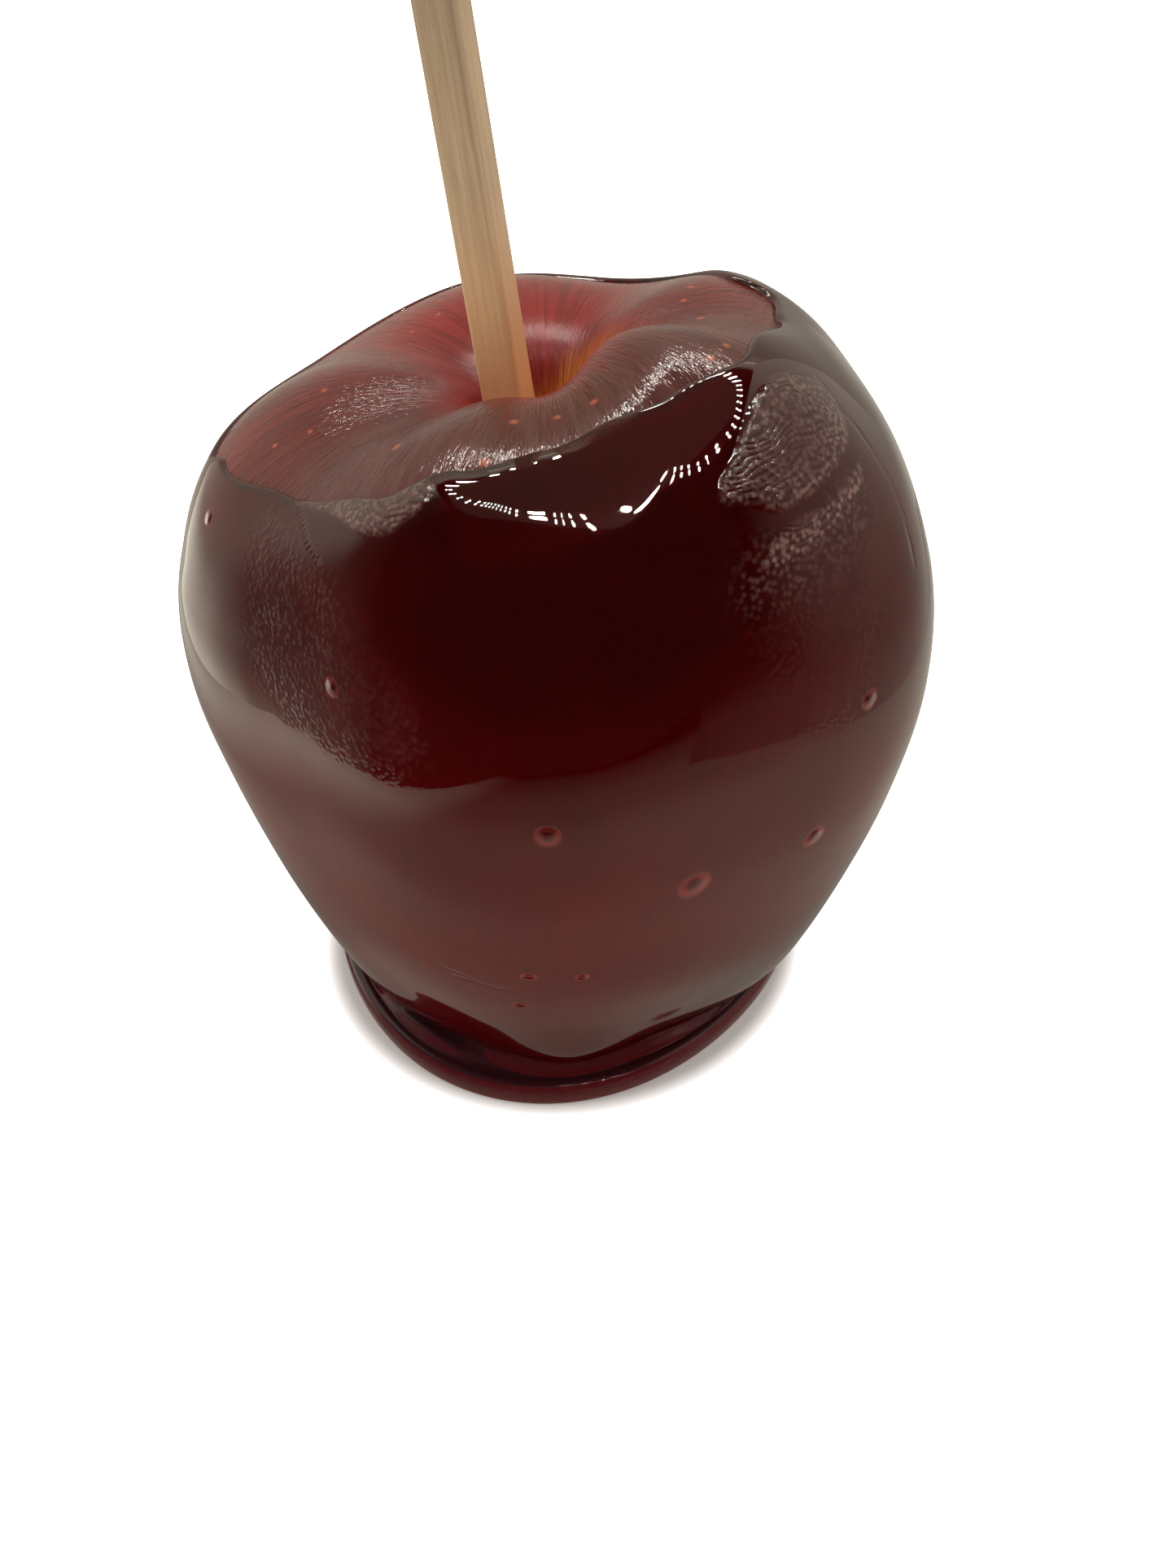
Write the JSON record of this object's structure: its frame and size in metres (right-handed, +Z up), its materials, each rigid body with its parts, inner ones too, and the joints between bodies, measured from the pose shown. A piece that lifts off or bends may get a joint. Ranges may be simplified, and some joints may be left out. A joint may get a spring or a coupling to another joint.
{
  "type": "toffee apple",
  "caption": "Tall lobed apple dipped in clear dark red hard toffee up to its shoulder, standing on a foot of set toffee, with a square wooden stick leaning out of its stem cavity.",
  "frame": {"origin": "centre of the flat face of the toffee foot that it stands on", "axes": "+Z up; -Y towards the front, the side where the toffee reaches highest over the shoulder beside the stick's wide face; +X to the right of the front"},
  "size_m": [0.0801, 0.0845, 0.1359],
  "materials": {
    "apple_skin": "waxy deep red skin, greyed by bloom, with pale spots",
    "toffee": "clear dark red set toffee, glossy, wrinkled in patches",
    "stick_wood": "bare pale birch, fine grain"
  },
  "bodies": {
    "root": {"apple": "apple_skin", "toffee_coat": "toffee", "stick": "stick_wood"}
  },
  "joints": []
}
